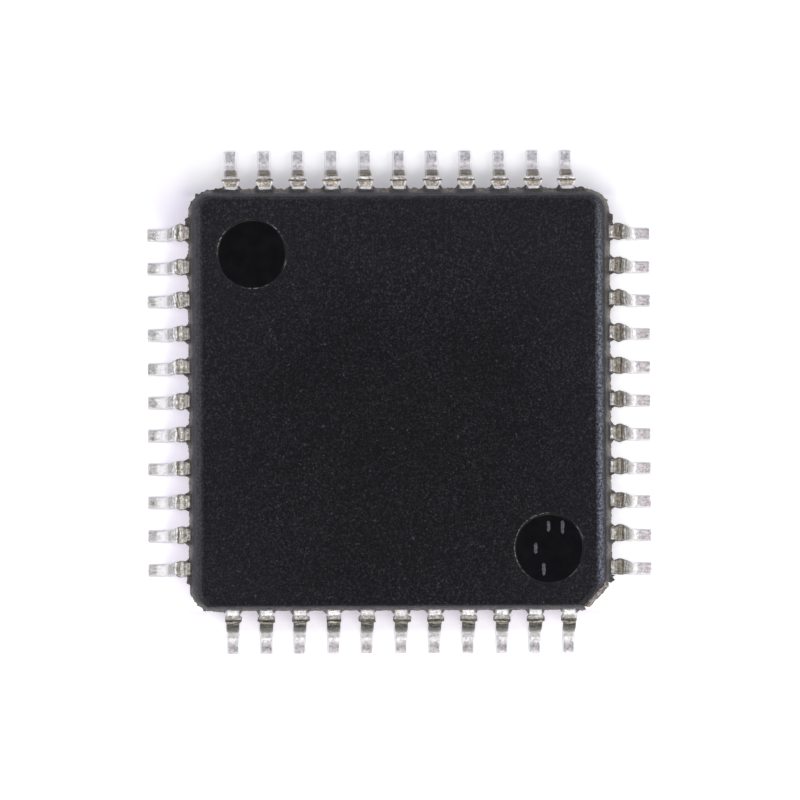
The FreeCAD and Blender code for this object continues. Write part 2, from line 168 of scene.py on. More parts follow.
def mix(tree, factor, first, second, blend="MIX"):
    made = add(tree, "Mix", {0: factor, 6: first, 7: second}, data_type="RGBA", blend_type=blend)
    return made.outputs[2]


def tinted(tree, first, second):
    """Two colours multiplied."""
    return mix(tree, 1.0, first, second, "MULTIPLY")


def attribute(tree, name):
    return add(tree, "Attribute", attribute_name=name).outputs["Fac"]


def math_node(tree, operation, *values):
    return add(tree, "Math", dict(enumerate(values)), operation=operation).outputs[0]


def times(tree, first, second):
    return math_node(tree, "MULTIPLY", first, second)


def swing(tree, level, amount):
    """Noise as a number that swings evenly round 0."""
    return times(tree, math_node(tree, "SUBTRACT", level, 0.5), amount)


def map_range(tree, value, low, high, at_low=0.0, at_high=1.0):
    return add(tree, "MapRange", {0: value, 1: low, 2: high, 3: at_low, 4: at_high}).outputs[0]


def stretched(tree, place, scale):
    return add(tree, "Mapping", {"Vector": place, "Scale": scale}).outputs[0]


FACE = (
    (0.36, (0.0, 0.0, 0.0004)), (0.5, (0.0032, 0.0032, 0.0044)),
    (0.6, (0.0135, 0.0135, 0.0158)), (0.72, (0.037, 0.037, 0.042)),
)
# The face is darkest here, and a little paler towards its corners in a painted sheen.
DARKEST = (0.0, -1.3 * MM, TOP * MM)
# How far the rounding has turned from the face's colour to its own, by skin.
TURNING = ((0.0, 0.0), (0.1, 0.14), (0.25, 0.3), (0.4, 0.46), (0.6, 0.72), (0.85, 0.95), (1.0, 1.0))
# Strength of the painted highlight across the rounding, by skin.
ROUNDING_HIGHLIGHT_BY_SKIN = (
    (0.0, 0.0), (0.03, 0.26), (0.13, 0.5), (0.25, 0.78), (0.36, 1.0),
    (0.48, 1.0), (0.58, 0.72), (0.7, 0.34), (0.85, 0.08), (0.95, 0.0),
)
# The wall's colour by half its skin, from the rounding down to the parting line: the resin's grey with
# painted light, paler towards the line. Below a rounding with a painted highlight it starts darker, a painted
# shade, and pales sooner.
WALL = (
    (0.5, (0.03, 0.03, 0.033)), (0.6, (0.052, 0.051, 0.053)), (0.7, (0.09, 0.088, 0.087)),
    (0.8, (0.118, 0.114, 0.11)), (0.9, (0.148, 0.141, 0.133)), (1.0, (0.21, 0.198, 0.182)),
)
WALL_BELOW_HIGHLIGHT = (
    (0.5, (0.014, 0.014, 0.017)), (0.57, (0.04, 0.039, 0.04)), (0.65, (0.105, 0.102, 0.098)),
    (0.75, (0.135, 0.13, 0.122)), (0.9, (0.15, 0.143, 0.133)), (1.0, (0.21, 0.198, 0.182)),
)


def resin_face(tree, place, fine):
    """Colour of the satin face: a random level for each grain, over noise, a painted sheen towards the
    corners, and a few pale specks.
    """
    cells = add(tree, "TexVoronoi", {"Vector": place, "Scale": 1 / (0.034 * MM)}).outputs["Color"]
    grain = math_node(tree, "ADD", times(tree, fine, 0.5), math_node(tree, "MULTIPLY_ADD", cells, 0.3, 0.1))
    face = ramp(tree, grain, FACE)
    tints = ((0.36, (0.92, 0.98, 1.1)), (0.64, (1.08, 1.03, 0.92)))
    tint = ramp(tree, noise_at(tree, place, 0.11, 1.0), tints)
    tone = ramp(tree, noise_at(tree, place, 1.9, 2.0), ((0.3, 0.75), (0.7, 1.25)))
    away = add(tree, "VectorMath", {0: place, 1: DARKEST}, operation="DISTANCE").outputs["Value"]
    corner = map_range(tree, away, 1.2 * MM, 6.2 * MM)
    contrast = ramp(tree, corner, ((0.0, 0.75), (1.0, 1.1)))
    face_sheen = ramp(tree, corner, ((0.0, 0.0), (0.4, (0.0003, 0.0003, 0.0005)), (1.0, (0.0046, 0.0045, 0.0058))))
    face = tinted(tree, tinted(tree, tinted(tree, face, tint), tone), contrast)
    face = mix(tree, 1.0, face, face_sheen, "ADD")
    specks = ramp(tree, noise_at(tree, place, 0.07, 2.0, 0.6), ((0.64, 0.0), (0.76, 1.0)))
    return mix(tree, specks, face, (0.05, 0.05, 0.058, 1))


def resin_material(name, specular):
    """Moulded epoxy. Skin is 0 on the satin faces, rises to 1 over the rounded edges and to 2 down the
    rough walls. The other attributes say how far a rounding pales in a painted sheen, how strong a painted
    highlight on it is, and where the wall is painted darker: shade beside the leads' roots, and darker
    corners."""
    material, tree, place = new_material(name)
    skin = attribute(tree, "skin")
    rounding_highlight = attribute(tree, "rounding_highlight")
    fine = noise_at(tree, place, 0.052, 3.0, 0.8)
    medium = noise_at(tree, place, 0.13, 3.0, 0.7)
    face = resin_face(tree, place, fine)

    # From the face over the rounding, which pales in a painted sheen, with a painted highlight across it on
    # some sides.
    off_face = times(tree, math_node(tree, "MINIMUM", times(tree, skin, 5.0), 1.0), 0.4)
    ragged = math_node(tree, "ADD", skin, swing(tree, medium, off_face))
    pale = ((0.36, (0.026, 0.026, 0.03)), (0.5, (0.048, 0.048, 0.054)), (0.64, (0.085, 0.085, 0.093)))
    turning = times(tree, ramp(tree, ragged, TURNING), attribute(tree, "rounding_sheen"))
    colour = mix(tree, turning, face, ramp(tree, fine, pale))
    grains = ramp(tree, fine, ((0.4, 0.15), (0.5, 0.75), (0.6, 1.9)))
    highlight = tinted(tree, grains, (0.098, 0.106, 0.130, 1))
    colour = mix(tree, times(tree, ramp(tree, ragged, ROUNDING_HIGHLIGHT_BY_SKIN), rounding_highlight), colour, highlight)

    # The wall, with the marks where it dragged along the mould as the part was pushed out.
    half_skin = times(tree, ragged, 0.5)
    wall = mix(tree, rounding_highlight, ramp(tree, half_skin, WALL), ramp(tree, half_skin, WALL_BELOW_HIGHLIGHT))
    both = math_node(tree, "ADD", times(tree, fine, 0.5), times(tree, medium, 0.5))
    wall = tinted(tree, wall, ramp(tree, both, ((0.37, 0.6), (0.5, 1.0), (0.63, 1.45))))
    drag = noise_at(tree, stretched(tree, place, (1.0, 1.0, 0.25)), 0.08, 3.0, 0.75)
    marks = ramp(tree, drag, ((0.38, (0.76, 0.75, 0.74)), (0.5, 1.0), (0.62, (1.28, 1.26, 1.23))))
    wall = tinted(tree, wall, marks)
    colour = mix(tree, ramp(tree, half_skin, ((0.47, 0.0), (0.53, 1.0))), colour, wall)

    # Painted shade on the lower wall beside the leads' roots, and darker corners.
    low_down = ramp(tree, half_skin, ((0.3, 0.0), (0.45, 0.35), (0.7, 0.5), (0.88, 1.0)))
    shade_and_darkening = times(tree, attribute(tree, "shade_and_darkening"), low_down)
    colour = mix(tree, shade_and_darkening, colour, tinted(tree, colour, (0.16, 0.155, 0.15, 1)))

    level = ramp(tree, skin, ((0.0, 0.46), (0.6, 0.42), (1.0, 0.75)))
    rough = math_node(tree, "ADD", level, swing(tree, fine, 0.4))
    relief = bump(tree, fine, 0.006, under=bump(tree, medium, 0.006))
    return principled(material, colour, rough, relief, specular)


def scar_material():
    """Resin broken off at the mould gate: rough, brownish and streaked across the break."""
    material, tree, place = new_material("broken_resin")
    turned = add(tree, "Mapping", {"Vector": place, "Rotation": (0, 0, -0.6)}).outputs[0]
    streak = noise_at(tree, stretched(tree, turned, (0.3, 1.0, 0.25)), 0.04, 3.0, 0.7)
    stops = ((0.38, (0.02, 0.016, 0.012)), (0.5, (0.19, 0.165, 0.14)), (0.62, (0.48, 0.44, 0.39)))
    colour = ramp(tree, streak, stops)
    return principled(material, colour, 0.7, bump(tree, streak, 0.012), 0.25)


def lip_material():
    """The lip of a pin mark: pale grains in arcs, a painted highlight on the rim, and dark elsewhere."""
    material, tree, place = new_material("pin_mark_lip_highlight")
    grains = noise_at(tree, place, 0.06, 3.0, 0.7)
    highlight_arcs = ramp(tree, noise_at(tree, place, 0.7, 1.0), ((0.45, 0.0), (0.6, 1.0)))
    pale = ramp(tree, grains, ((0.45, (0.01, 0.01, 0.011)), (0.62, (0.22, 0.21, 0.18))))
    colour = mix(tree, highlight_arcs, (0.006, 0.006, 0.007, 1), pale)
    return principled(material, colour, 0.55, bump(tree, grains, 0.006), 0.25)


def tick_material():
    """Scratched resin of the raised ticks, its pale grains partly a painted reflection of the lamps."""
    material, tree, place = new_material("tick_resin")
    grains = noise_at(tree, place, 0.05, 3.0, 0.7)
    colour = ramp(tree, grains, ((0.35, (0.012, 0.012, 0.015)), (0.6, (0.085, 0.08, 0.1))))
    return principled(material, colour, 0.5, bump(tree, grains, 0.004))


def gloss_material():
    """Resin against a polished pin: near mirror, with faint clouds."""
    material, tree, place = new_material("pin_polished_resin")
    cloud = noise_at(tree, place, 0.35, 4.0, 0.6)
    colour = ramp(tree, cloud, ((0.35, (0.0003, 0.0003, 0.0006)), (0.7, (0.0022, 0.0022, 0.0028))))
    rough = ramp(tree, cloud, ((0.3, 0.1), (0.7, 0.18)))
    return principled(material, colour, rough, bump(tree, noise_at(tree, place, 0.12), 0.0006), 0.2)


def tin_material(row):
    """Matte tin plate, with its row's zones of painted light and shade along the lead."""
    material, tree, place = new_material(f"tin_plate_{row}")
    distance = attribute(tree, "along")
    patches = noise_at(tree, place, 0.075, 4.0, 0.75)
    crystals = noise_at(tree, place, 0.03, 2.0, 0.6)
    along = math_node(tree, "ADD", distance, swing(tree, patches, 0.06))

    def zoned(zones):
        return ramp(tree, along, tuple((s / PATH_LENGTH, level) for s, level in zones[row]))

    clouds = (
        (0.32, (0.42, 0.42, 0.45)), (0.44, (0.72, 0.71, 0.72)),
        (0.54, (0.92, 0.91, 0.9)), (0.66, 1.1),
    )
    colour = tinted(tree, ramp(tree, patches, clouds), zoned(TIN_LIGHT_AND_SHADE))

    # Tool marks run across the shoulder and the first bend, between speckles.
    on_shoulder = ramp(tree, distance, ((0.28, 0.8), (0.4, 0.0)))
    sway = times(tree, noise_at(tree, place, 0.6, 1.0), 7.0)
    lines_at = math_node(tree, "ADD", times(tree, distance, 55.0), sway)
    inputs = {"W": lines_at, "Scale": 1.0, "Detail": 1.0}
    lines = add(tree, "TexNoise", inputs, noise_dimensions="1D").outputs["Fac"]
    marks = ramp(tree, lines, ((0.36, 0.45), (0.5, 0.95), (0.6, 1.25)))
    colour = mix(tree, on_shoulder, colour, tinted(tree, colour, marks))
    speckle = ramp(tree, noise_at(tree, place, 0.07, 3.0, 0.8), ((0.38, 0.5), (0.5, 1.0), (0.6, 1.5)))
    colour = mix(tree, on_shoulder, colour, tinted(tree, colour, speckle))
    pits = ramp(tree, noise_at(tree, place, 0.045, 2.0), ((0.31, 0.8), (0.37, 0.0)))
    colour = mix(tree, pits, colour, (0.12, 0.105, 0.09, 1))

    # Painted highlights, white with less metal: along the long edges, and on the middle in zones of its own.
    edge = times(tree, ramp(tree, attribute(tree, "rim"), ((0.70, 0.0), (0.83, 1.0))), zoned(LEAD_EDGE_HIGHLIGHTS))
    middle_highlight = times(tree, zoned(LEAD_MIDDLE_HIGHLIGHTS), ramp(tree, patches, ((0.38, 0.5), (0.52, 1.0))))
    white = math_node(tree, "MAXIMUM", edge, middle_highlight)
    colour = mix(tree, white, colour, (0.95, 0.95, 0.95, 1))
    metal = math_node(tree, "SUBTRACT", 0.7, times(tree, white, 0.5))
    rough = ramp(tree, crystals, ((0.35, 0.3), (0.65, 0.56)))
    relief = bump(tree, crystals, 0.004, under=bump(tree, patches, 0.009))
    return principled(material, colour, rough, relief, metallic=metal)


def inner_material(name, dark, light, metallic, roughness, size):
    """A finish for a piece that is sealed inside the body."""
    material, tree, place = new_material(name)
    cloud = noise_at(tree, place, size, 4.0)
    colour = ramp(tree, cloud, ((0.3, dark), (0.7, light)))
    rough = ramp(tree, cloud, ((0.3, roughness[0]), (0.7, roughness[1])))
    return principled(material, colour, rough, bump(tree, cloud, size * 0.02), metallic=metallic)


# Moulded body

# Shift of the upper mould half against the lead frame.
UPPER_SHIFT = (0.0, -0.02)
# For the right, top, left and bottom side: draft of the upper wall, radius of its edge, and reach of the
# flash between the leads. The lower half is even all round.
TOP_DRAFTS = (17, 12, 12, 8)
TOP_RADII = (0.24, 0.17, 0.25, 0.05)
WEBS = (0.02, 0.055, 0.03, 0.0)
LOW_DRAFTS = (12,) * 4
LOW_RADII = (0.17,) * 4
# By side too: how far the resin pales over the rounding in a painted sheen, how strong a painted highlight
# on it is, and how far the wall laps over the roots of the leads.
ROUNDING_SHEEN = (0.2, 1.0, 0.85, 0.1)
ROUNDING_HIGHLIGHT = (1.0, 0.0, 0.1, 0.0)
ROOT_LAPS = (0.0, 0.065, 0.0, -0.075)
# The painted shade beside the leads' roots, and how much darker the corners that follow each side are.
ROOT_SHADE = (0.8, 0.65, 0.7, 0.1)
CORNER_DARKENING = (0.0, 0.0, 0.45, 0.1)
ROUND_STEPS = 9
WALL_STEPS = 8
MARK_RADIUS = 0.815
MARK_DEPTH = 0.06
MARKS = ((-3.51, 3.45), (3.51, -3.57))
LIP_WIDTH = 0.026
MARK_SEGMENTS = 120
# The ejector marks of the underside.
EJECTOR_RADIUS = 0.6
EJECTOR_DEPTH = 0.04
EJECTORS = ((-3.2, 3.2), (3.2, -3.2))

# Corners in order from the gate at +X -Y: direction, leg along X and Y at the parting line, and
# roundness, from 0 for a straight chamfer to 1 for a full arc.
CORNERS = (
    ((1, -1), 0.60, 0.64, 0.0),
    ((1, 1), 0.50, 0.50, 0.95),
    ((-1, 1), 0.40, 0.40, 0.6),
    ((-1, -1), 0.40, 0.42, 0.5),
)
CORNER_POINTS = 26
# The flash stays within this distance of the middle along X and Y.
FLASH_LIMIT = HALF + 0.14
# Length and reach of the stub of flash beyond the last lead, at both ends of each side.
STUBS = (
    ((0.17, 0.055), (0.26, 0.085)), ((0.24, 0.04), (0.22, 0.04)),
    ((0.2, 0.075), (0.2, 0.06)), ((0.3, 0.03), (0.2, 0.035)),
)
# Half lengths along a side: of the grid of places, of a lead's root with some room, and of the root.
SIDE_REACH = 4.65
ROOT_REACH = 0.17
ROOT_HALF = 0.165


def side_places():
    """Places along one side: coarse across a lead, fine in a gap."""
    places = []
    t = -SIDE_REACH
    while t < FIRST_LEAD - ROOT_REACH:
        places.append(t)
        t += 0.022
    for index in range(LEADS):
        middle = FIRST_LEAD + index * PITCH
        places += [middle + k * 0.08 for k in (-2, -1, 0, 1, 2)]
        last = index == LEADS - 1
        gap = SIDE_REACH - middle - ROOT_REACH if last else PITCH - 2 * ROOT_REACH
        steps = round(gap / (0.022 if last else 0.018))
        places += [middle + ROOT_REACH + gap * k / steps for k in range(steps + (not last))]
    return places


def nearest_lead(place):
    """Index of the lead nearest to a place along a side, and how far on the place lies."""
    index = min(max(round((place - FIRST_LEAD) / PITCH), 0), LEADS - 1)
    return index, place - (FIRST_LEAD + index * PITCH)


def stub_at(side, place):
    """Length and reach of the flash stub at the place's end of a side."""
    return STUBS[side][place > 0]


PLACES = side_places()


def outline(insets, shift):
    """Points round the body, counter-clockwise from the gate corner, with the inset of each side."""
    ends = []
    for (sx, sy), leg_x, leg_y, roundness in CORNERS:
        inset_x, inset_y = insets[0 if sx > 0 else 2], insets[1 if sy > 0 else 3]
        x, y = sx * (HALF - inset_x), sy * (HALF - inset_y)
        shrink = (0.59 + 0.41 * roundness) * (inset_x + inset_y) / 2
        on_y_side = Vector((x - sx * max(leg_x - shrink, 0.05), y))
        on_x_side = Vector((x, y - sy * max(leg_y - shrink, 0.05)))
        pair = (on_x_side, on_y_side) if sx * sy > 0 else (on_y_side, on_x_side)
        ends.append((*pair, Vector((x, y)), roundness))
    points, tags = [], []
    for index, (start, end, vertex, roundness) in enumerate(ends):
        centre = start + end - vertex
        for k in range(CORNER_POINTS):
            t = k / CORNER_POINTS
            angle = math.pi / 2 * t
            arc = centre + (start - centre) * math.cos(angle) + (end - centre) * math.sin(angle)
            points.append(start.lerp(end, t).lerp(arc, roundness))
            tags.append(("corner", index, t))
        start, end = end, ends[(index + 1) % 4][0]
        direction = (end - start).normalized()
        length = (end - start).length
        middle = start.dot(direction)
        low, high = PLACES[0], PLACES[-1]
        for place in PLACES:
            # A place keeps to its true coordinate, apart from those near the side's two ends.
            t = place - middle
            t = min(max(t, 0.01 * (place - low + 0.1)), length - 0.01 * (high - place + 0.1))
            points.append(start + direction * t)
            tags.append(("side", index, place))
    return [p + Vector(shift) for p in points], tags


def outward_of(points):
    """Outward direction at each point of a closed outline."""
    result = []
    for before, after in zip(points[-1:] + points[:-1], points[1:] + points[:1]):
        run = (after - before).normalized()
        result.append(Vector((run.y, -run.x)))
    return result


def flash_reach(side, place):
    """How far flash stands out of the parting line at a place along a side."""
    index, from_lead = nearest_lead(place)
    if abs(from_lead) < ROOT_HALF:
        return -0.06
    rough = 0.028 * wobble(place * 11, side * 7.3, 2.1, 4) + 0.012 * wobble(place * 40, side * 3.1, 5.0, 2)
    hand = 1 if from_lead > 0 else -1
    size = 0.09 + 0.05 * wobble(index * 3.7 + hand * 1.3, side * 5.9, 0.4, 1)
    width = 0.1 + 0.05 * wobble(index * 2.9 - hand * 2.3, side * 4.1, 8.4, 1)
    wedge = size * (1 - smooth(0.0, width, abs(from_lead) - ROOT_HALF)) ** 1.2
    web = WEBS[side]
    beyond = abs(place) + FIRST_LEAD - ROOT_HALF
    if beyond > 0:
        length, reach = stub_at(side, place)
        left = 1 - smooth(length - 0.02, length + 0.02, beyond)
        return max(max(wedge, reach * left) + web * 0.6 + rough * (0.3 + 0.7 * left), -0.015)
    return max(wedge + web + rough, -0.012)


def scar_mask(t):
    """1 on the gate's broken remnant, 0 in the notches at its two ends."""
    return smooth(0.05, 0.1, t) * (1 - smooth(0.9, 0.95, t))


def body_levels():
    """Rings of the body from the underside up: each side's height and inset, share of the upper half's
    shift, kind, and skin."""
    levels = []

    def half_levels(height, drafts, radii, steps):
        """Rises above the outer face and insets from the parting line, from that face to the line."""
        made = []
        for k in range(ROUND_STEPS + 1):
            rises, insets = [], []
            for draft, r in zip(drafts, radii):
                turn = math.radians(90 - draft)
                angle = turn * k / ROUND_STEPS
                rises.append(r * (1 - math.cos(angle)))
                wall = math.tan(math.radians(draft)) * height
                insets.append(wall + r * (math.tan(turn / 2) - math.sin(angle)))
            made.append((rises, insets, "edge", k / ROUND_STEPS))
        for k in range(1, steps + 1):
            rises, insets = [], []
            for draft, r in zip(drafts, radii):
                start = r * (1 - math.sin(math.radians(draft)))
                rises.append(start + (height - start) * k / steps)
                insets.append(math.tan(math.radians(draft)) * (height - rises[-1]))
            made.append((rises, insets, "wall", 1 + k / steps))
        return made

    lower = half_levels(LEVEL - SHEET / 2 - STANDOFF, LOW_DRAFTS, LOW_RADII, WALL_STEPS)
    upper = half_levels(TOP - LEVEL - SHEET / 2, TOP_DRAFTS, TOP_RADII, WALL_STEPS)
    for rises, insets, kind, skin in lower:
        levels.append(([STANDOFF + rise for rise in rises], insets, 0.0, kind, skin))
    for z, kind in ((-0.05, "flash_side"), (0.0, "flash_edge"), (0.05, "flash_side")):
        levels.append(([LEVEL + z] * 4, [0.0] * 4, 0.0, kind, 2.0))
    for rises, insets, kind, skin in reversed(upper):
        levels.append(([TOP - rise for rise in rises], insets, 1.0, kind, skin))
    return levels


def edge_value(values, part, which, where):
    """A side's value, or one between two sides at a corner. The gate corner takes after the bottom."""
    if part == "side":
        return values[which]
    share = where**6 if which == 0 else where
    return values[which - 1] + (values[which] - values[which - 1]) * share


def rounding_highlight_at(part, which, where):
    """How strong the painted highlight on the rounding is: less at a side's far end and on the corner after
    the right side.
    """
    rounding_highlight = edge_value(ROUNDING_HIGHLIGHT, part, which, where)
    if part == "side":
        return rounding_highlight * (1 - 0.45 * smooth(2.6, 4.6, where))
    return rounding_highlight * 0.55 if which == 1 else rounding_highlight


def shade_and_darkening_at(part, which, where):
    """How dark the wall is painted: shade beside a lead's root, or darker on a corner."""
    if part == "corner":
        return CORNER_DARKENING[which] * smooth(0.0, 0.2, where) * (1 - smooth(0.8, 1.0, where))
    _, from_lead = nearest_lead(where)
    stub = stub_at(which, where)[0] if abs(where) > -FIRST_LEAD else 0.0
    return ROOT_SHADE[which] * (1 - smooth(0.16 + stub, 0.3 + stub, abs(from_lead)))


def root_lap(side, place, z):
    """How far the upper wall laps over a lead's root, at a place along a side and a height."""
    beside = smooth(0.16, 0.2, abs(nearest_lead(place)[1]))
    lead_top = LEVEL + SHEET / 2
    return ROOT_LAPS[side] * (1 - beside) * (1 - smooth(lead_top, lead_top + 0.12, z)) * (z > LEVEL)


def body_ring(heights, insets, shifted, kind, skin):
    """One ring of the body, with the roughness of its kind."""
    points, tags = outline(insets, [c * shifted for c in UPPER_SHIFT])
    outward = outward_of(points)
    ring = []
    for point, away, (part, which, where) in zip(points, outward, tags):
        if part == "side":
            z = heights[which]
        else:
            z = heights[which - 1] + (heights[which] - heights[which - 1]) * where
        scar = scar_mask(where) if part == "corner" and which == 0 else None
        if kind == "wall":
            move = 0.010 * wobble(point.x * 9, point.y * 9, z * 9, 3)
            move += 0.006 * wobble(point.x * 30, point.y * 30, z * 30, 3) - 0.006
            if part == "side":
                move += root_lap(which, where, z)
            if scar is not None:
                move += -0.08 + scar * (0.1 + 0.014 * wobble(point.x * 26, point.y * 26, z * 5, 3))
        elif kind == "edge":
            move = 0.004 * wobble(point.x * 6, point.y * 6, z * 6, 2) * smooth(0, 0.4, skin)
            move += 0.008 * wobble(point.x * 24, point.y * 24, z * 24, 3) * smooth(0.4, 1.0, skin)
        else:
            if part == "side":
                move = flash_reach(which, where)
                if kind == "flash_side" and move > 0:
                    move *= 0.8
            elif scar is not None:
                move = -0.08 + scar * (0.1 + 0.03 * wobble(point.x * 20, point.y * 20, 4.0, 4))
            else:
                spike = max(wobble(point.x * 13, point.y * 13, 6.0, 3), 0.0)
                move = 0.004 + 0.06 * spike + 0.01 * wobble(point.x * 35, point.y * 35, 1.0, 2)
            z += 0.008 * wobble(point.x * 15, point.y * 15, z * 20, 2)
        place = point + away * move
        ring.append((*(min(max(c, -FLASH_LIMIT), FLASH_LIMIT) for c in place), z))
    return ring, tags


def circle(centre, radius, z):
    turns = [2 * math.pi * k / MARK_SEGMENTS for k in range(MARK_SEGMENTS)]
    return [(centre[0] + radius * math.cos(turn), centre[1] + radius * math.sin(turn), z) for turn in turns]


# The body's material slots. The resin's gloss rises in steps from the face, over the worn edges, to the
# walls, at these limits of skin.
SATIN, BROKEN, LIP, GLOSS, DULL_EDGE, EDGE, SHINY_EDGE = range(7)
SHINES = (SATIN, DULL_EDGE, EDGE, SHINY_EDGE)
SHINE_LIMITS = (0.25, 1.0, 1.5)


def make_body():
    """The moulded body: its drafted halves, rounded edges, ragged flash and polished pin marks."""
    points, faces, slots, skins, flat = [], [], [], [], []
    rounding_sheens, rounding_highlights, shades_and_darkenings = [], [], []
    rings = []
    for heights, insets, shifted, kind, skin in body_levels():
        ring, tags = body_ring(heights, insets, shifted, kind, skin)
        rings.append((len(points), kind, tags, skin))
        points += ring
        skins += [skin] * len(ring)
        rounding_sheens += [edge_value(ROUNDING_SHEEN, *tag) for tag in tags]
        rounding_highlights += [rounding_highlight_at(*tag) for tag in tags]
        shades_and_darkenings += [shade_and_darkening_at(*tag) for tag in tags]
    count = len(rings[0][2])
    for (low, low_kind, tags, low_skin), (high, high_kind, _, high_skin) in zip(rings, rings[1:]):
        shine = SHINES[sum((low_skin + high_skin) / 2 > limit for limit in SHINE_LIMITS)]
        for k in range(count):
            after = (k + 1) % count
            faces.append((low + k, low + after, high + after, high + k))
            if tags[k][:2] == ("corner", 0) and "edge" not in (low_kind, high_kind):
                slots.append(BROKEN)
            elif shine == SHINY_EDGE and shade_and_darkening_at(*tags[k]) > 0.3:
                slots.append(DULL_EDGE)
            else:
                slots.append(shine)

    def cap(ring_start, marks, upward, pin_radius, pin_depth, level):
        """A flat face with round recesses."""
        loops = [points[ring_start : ring_start + count]]
        starts = [ring_start]
        for centre in marks:
            rim = circle(centre, pin_radius + LIP_WIDTH, level)
            starts.append(len(points))
            loops.append(rim)
            points.extend(rim)
        flat_loops = [[Vector((p[0], p[1], 0)) for p in loop] for loop in loops]
        lookup = [start + k for start, loop in zip(starts, loops) for k in range(len(loop))]
        for triangle in tessellate_polygon(flat_loops):
            a, b, c = (lookup[i] for i in triangle)
            flat.append(len(faces))
            faces.append((a, b, c) if upward else (a, c, b))
            slots.append(SATIN)
        sign = -1 if upward else 1
        profile = (
            (pin_radius + 0.012, 0.003, LIP),
            (pin_radius, 0.009, LIP),
            (pin_radius - 0.004, 0.02, LIP),
            (pin_radius - 0.006, pin_depth - 0.008, SATIN),
            (pin_radius - 0.012, pin_depth - 0.001, GLOSS),
            (pin_radius - 0.03, pin_depth, GLOSS),
            (pin_radius * 0.6, pin_depth + 0.0006, GLOSS),
            (pin_radius * 0.25, pin_depth + 0.001, GLOSS),
        )
        for previous, centre in zip(starts[1:], marks):
            for radius, depth, slot in profile:
                start = len(points)
                points.extend(circle(centre, radius, level + sign * depth))
                for k in range(MARK_SEGMENTS):
                    after = (k + 1) % MARK_SEGMENTS
                    quad = (previous + k, previous + after, start + after, start + k)
                    faces.append(quad if upward else quad[::-1])
                    slots.append(slot)
                previous = start
            middle = len(points)
            points.append((centre[0], centre[1], level + sign * (pin_depth + 0.001)))
            for k in range(MARK_SEGMENTS):
                triangle = (previous + k, previous + (k + 1) % MARK_SEGMENTS, middle)
                faces.append(triangle if upward else triangle[::-1])
                slots.append(GLOSS)

    cap(rings[-1][0], MARKS, True, MARK_RADIUS, MARK_DEPTH, TOP)
    cap(rings[0][0], EJECTORS, False, EJECTOR_RADIUS, EJECTOR_DEPTH, STANDOFF)
    rest = [0.0] * (len(points) - len(skins))
    attributes = {"skin": skins + rest, "rounding_sheen": rounding_sheens + rest, "rounding_highlight": rounding_highlights + rest, "shade_and_darkening": shades_and_darkenings + rest}
    materials = [resin_material("satin_resin", 0.12), scar_material(), lip_material(), gloss_material()]
    for share, specular in enumerate((0.26, 0.28, 0.5), 1):
        materials.append(resin_material(f"edge_resin_{share}", specular))
    body = make_piece("moulded_body", points, faces, materials, slots, flat, attributes)
    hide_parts("package_body")


# Ticks: place from the middle of the lower right mark, and length.
TICKS = ((-0.014, 0.518, 0.27), (0.318, 0.494, 0.33), (-0.323, -0.005, 0.27), (-0.133, -0.504, 0.31))
TICK_HALF = 0.036


def make_ticks():
    """Four small plain ticks raised on the floor of the lower right pin mark."""
    cx, cy = MARKS[1]
    points, faces = [], []
    floor = TOP - MARK_DEPTH - 0.004
    for x, y, length in TICKS:
        stations = 10
        shape = ((-1.3, 0.0), (-1.0, 0.01), (-0.5, 0.018), (0.0, 0.02), (0.5, 0.018), (1.0, 0.01), (1.3, 0.0))
        start = len(points)
        for k in range(stations + 1):
            t = 2 * k / stations - 1
            taper = max(1 - abs(t) ** 4, 0.05) ** 0.5
            for side, height in shape:
                ragged = 1 + 0.3 * wobble(t * 3 + x * 9, side, y * 9, 2)
                across = side * TICK_HALF * taper * ragged
                points.append((cx + x + across, cy + y + t * length / 2, floor + height * taper))
        size = len(shape)
        for k in range(stations):
            low, high = start + k * size, start + (k + 1) * size
            for j in range(size):
                after = (j + 1) % size
                faces.append((low + j, low + after, high + after, high + j))
        faces.append(tuple(start + j for j in range(size))[::-1])
        faces.append(tuple(start + stations * size + j for j in range(size)))
    ticks = make_piece("pin_mark_ticks", points, faces, (tick_material(),))


# Leads

TOP_COLUMNS = 13
CORNER_STEPS = 4
# The long top edges are rolled, deeper than they are wide, and the lower ones are nearly square.
EDGE_ROLL = 0.042
EDGE_DROP = 0.085
EDGE_BURR = 0.014
BEND_STEPS = 20


